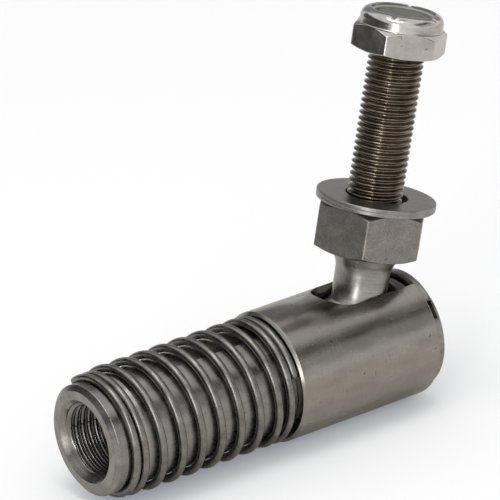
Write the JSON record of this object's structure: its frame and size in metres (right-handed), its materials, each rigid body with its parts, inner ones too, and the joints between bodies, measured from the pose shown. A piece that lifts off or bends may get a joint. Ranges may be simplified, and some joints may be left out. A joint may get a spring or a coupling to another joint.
{
  "type": "angle ball joint",
  "caption": "Quick-release angle ball joint: tapped bar with a ball pocket, spring-loaded slotted sleeve and a threaded ball stud with hexagon, washer and lock nut.",
  "frame": {"origin": "centre of the ball", "axes": "+X along the bar's axis towards its nose, +Z on the stud's side, with the stud leaning from +Z towards +X in the XZ plane"},
  "size_m": [0.0755, 0.0228, 0.0699],
  "materials": {
    "bar_steel": "satin, turned",
    "spring_steel": "drawn wire",
    "stud_steel": "forged and turned",
    "washer_steel": "tumbled",
    "nut_steel": "polished",
    "nylon": "smooth"
  },
  "bodies": {
    "socket": {"socket_body": "bar_steel", "return_spring": "spring_steel", "retaining_ring": "bar_steel"},
    "sleeve": {"release_sleeve": "bar_steel"},
    "stud": {"ball_stud": "stud_steel", "flat_washer": "washer_steel", "lock_nut": "nut_steel", "nut_insert": "nylon"}
  },
  "joints": [
    {"name": "sleeve_slide", "type": "slide", "parent": "socket", "child": "sleeve", "axis": [-1, 0, 0], "range_m": [0, 0.018], "stiffness_N_per_m": 534, "springref_m": -0.005, "deforming": ["return_spring"]},
    {"name": "stud_tilt", "type": "hinge", "parent": "socket", "child": "stud", "pos_m": [0, 0, 0], "axis": [0, 1, 0], "range_deg": [-27, 9]}
  ]
}
